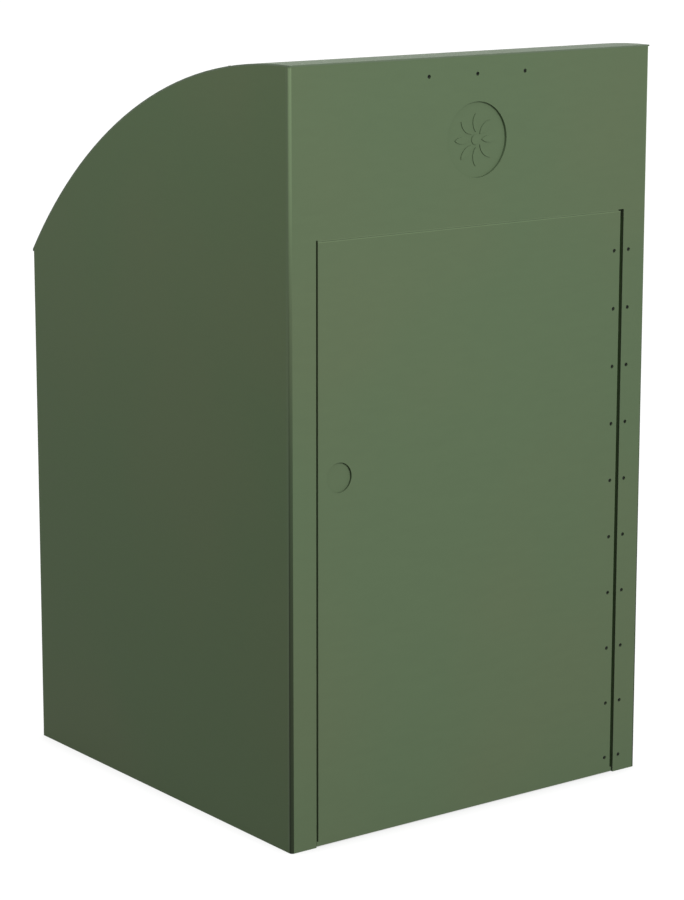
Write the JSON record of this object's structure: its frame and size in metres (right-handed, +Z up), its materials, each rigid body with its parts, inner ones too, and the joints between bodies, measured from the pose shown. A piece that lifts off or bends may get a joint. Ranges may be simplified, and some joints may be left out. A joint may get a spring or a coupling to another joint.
{
  "type": "wheeled bin enclosure",
  "caption": "Tall plastic cabinet that hides a wheeled bin, with a curved roof falling to the rear and one full-height door on a long hinge.",
  "frame": {"origin": "on the ground under the middle of the cabinet", "axes": "+Z up, +X to the right along the front as seen from outside, +Y from the front face to the rear"},
  "size_m": [0.9, 0.94, 1.5334],
  "materials": {
    "panel": "satin sage green, through-coloured",
    "batten": "sawn, darker green",
    "roof": "satin powder coat in the panels' green",
    "galvanised": "galvanised",
    "screw": "zinc plated",
    "dark_bolt": "blackened",
    "hinge": "dark powder coat",
    "plate": "bare steel",
    "catch_plastic": "black moulding",
    "rubber": "matt"
  },
  "bodies": {
    "cabinet": {"front_panel": "panel", "left_side_panel": "panel", "right_side_panel": "panel", "rear_panel": "panel", "roof_sheet": "roof", "front_left_post": "batten", "front_right_post": "batten", "rear_left_post": "batten", "rear_right_post": "batten", "header_batten": "batten", "left_roof_batten": "batten", "right_roof_batten": "batten", "eaves_batten": "batten", "left_door_stop": "panel", "top_door_stop": "panel", "left_anchor_rail": "galvanised", "right_anchor_rail": "galvanised", "rear_anchor_rail": "galvanised", "post_screws": "screw", "roof_batten_screws": "screw", "roof_screws": "roof", "eaves_batten_screws": "screw", "header_bolts_set": "dark_bolt", "stop_screws": "screw", "anchor_rail_screws": "screw", "door_buffers": "rubber", "catch_housings": "catch_plastic", "catch_poles": "plate", "catch_screws": "screw", "hinge_leaf_jamb": "hinge", "hinge_pin": "dark_bolt", "hinge_bolts_jamb": "dark_bolt", "hinge_nuts_jamb": "screw"},
    "door": {"door_panel": "panel", "hinge_leaf_door": "hinge", "hinge_bolts_door": "dark_bolt", "hinge_nuts_door": "screw", "door_rail_top": "batten", "door_rail_middle": "batten", "door_rail_bottom": "batten", "door_rail_screws": "screw", "catch_strikes": "plate", "strike_screws": "screw"}
  },
  "joints": [
    {"name": "door_hinge", "type": "hinge", "parent": "cabinet", "child": "door", "pos_m": [0.38455, -0.4662, 0.6], "axis": [0, 0, 1], "range_deg": [0, 95]}
  ]
}
